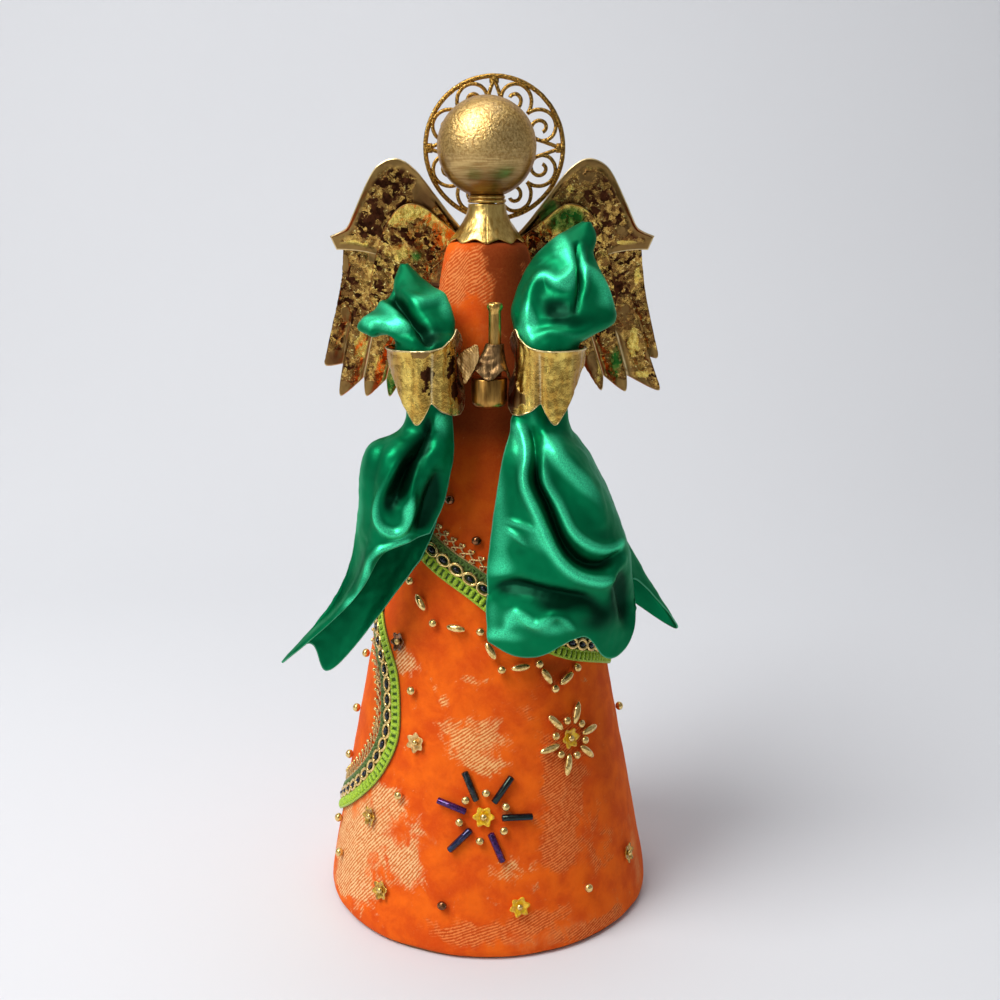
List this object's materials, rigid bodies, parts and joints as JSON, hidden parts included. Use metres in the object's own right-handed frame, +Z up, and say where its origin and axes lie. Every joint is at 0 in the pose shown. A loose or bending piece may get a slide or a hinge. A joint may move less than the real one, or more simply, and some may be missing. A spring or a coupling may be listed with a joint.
{
  "type": "angel figurine",
  "caption": "Standing angel ornament: velvet cone skirt, round head with filigree halo, sheet-metal wings, satin sleeves, petal cuffs holding a candle, braid and bead trim.",
  "frame": {"origin": "centre of the base board's underside, on the surface that the figure stands on", "axes": "+Z up along the cone's axis, -Y the way the figure faces, +X to the viewer's right"},
  "size_m": [0.1214, 0.1066, 0.264],
  "materials": {
    "card": "dark brown millboard, matt",
    "plain_wood": "plain turned beech",
    "velvet": "orange crushed velvet",
    "collar_gold": "bright hammered gold",
    "head_gold": "turned ball with satin gold paint",
    "halo_gold": "antique gold filigree",
    "wing_gold": "gold leaf worn through to a dark brown patina",
    "cuff_gold": "brushed gold leaf",
    "wire": "drawn wire",
    "satin": "emerald green satin",
    "braid": "lime green gimp braid",
    "edging": "looped metallic thread",
    "gold_bead": "metallised gold bead",
    "bugle": "dark iridescent bugle bead",
    "sequin": "matt gold flower sequin"
  },
  "bodies": {
    "root": {"base_board": "card", "card_cone": "card", "top_plug": "plain_wood", "velvet_cover": "velvet", "neck_dowel": "plain_wood", "collar": "collar_gold", "neck_ring": "collar_gold", "head_ball": "head_gold", "halo": "halo_gold", "wing_coverts_left": "wing_gold", "wing_feathers_left": "wing_gold", "wing_shoulder_leaf_left": "wing_gold", "arm_wire_left": "wire", "sleeve_left": "satin", "cuff_left": "cuff_gold", "drape_left": "satin", "wing_coverts_right": "wing_gold", "wing_feathers_right": "wing_gold", "wing_shoulder_leaf_right": "wing_gold", "arm_wire_right": "wire", "sleeve_right": "satin", "cuff_right": "cuff_gold", "drape_right": "satin", "candle": "cuff_gold", "candle_calyx": "cuff_gold", "candle_leaf": "cuff_gold", "candle_socket": "cuff_gold", "braid_left": "braid", "braid_front": "braid", "edging_left": "edging", "edging_front": "edging", "bugle_star_sequin": "sequin", "bugle_star_ray_1": "bugle", "bugle_star_ray_2": "bugle", "bugle_star_ray_3": "bugle", "bugle_star_ray_4": "bugle", "bugle_star_ray_5": "bugle", "bugle_star_ray_6": "bugle", "rice_flower_sequin": "sequin", "rice_flower_ray_1": "gold_bead", "rice_flower_ray_2": "gold_bead", "rice_flower_ray_3": "gold_bead", "rice_flower_ray_4": "gold_bead", "rice_flower_ray_5": "gold_bead", "rice_flower_ray_6": "gold_bead", "garland_pearl_1": "gold_bead", "garland_pearl_2": "gold_bead", "garland_pearl_3": "gold_bead", "garland_pearl_4": "gold_bead", "garland_pearl_5": "gold_bead", "garland_pearl_6": "gold_bead", "garland_pearl_7": "gold_bead", "garland_rice_bead_1": "gold_bead", "garland_rice_bead_2": "gold_bead", "garland_rice_bead_3": "gold_bead", "garland_rice_bead_4": "gold_bead", "garland_rice_bead_5": "gold_bead", "garland_rice_bead_6": "gold_bead"}
  },
  "joints": []
}
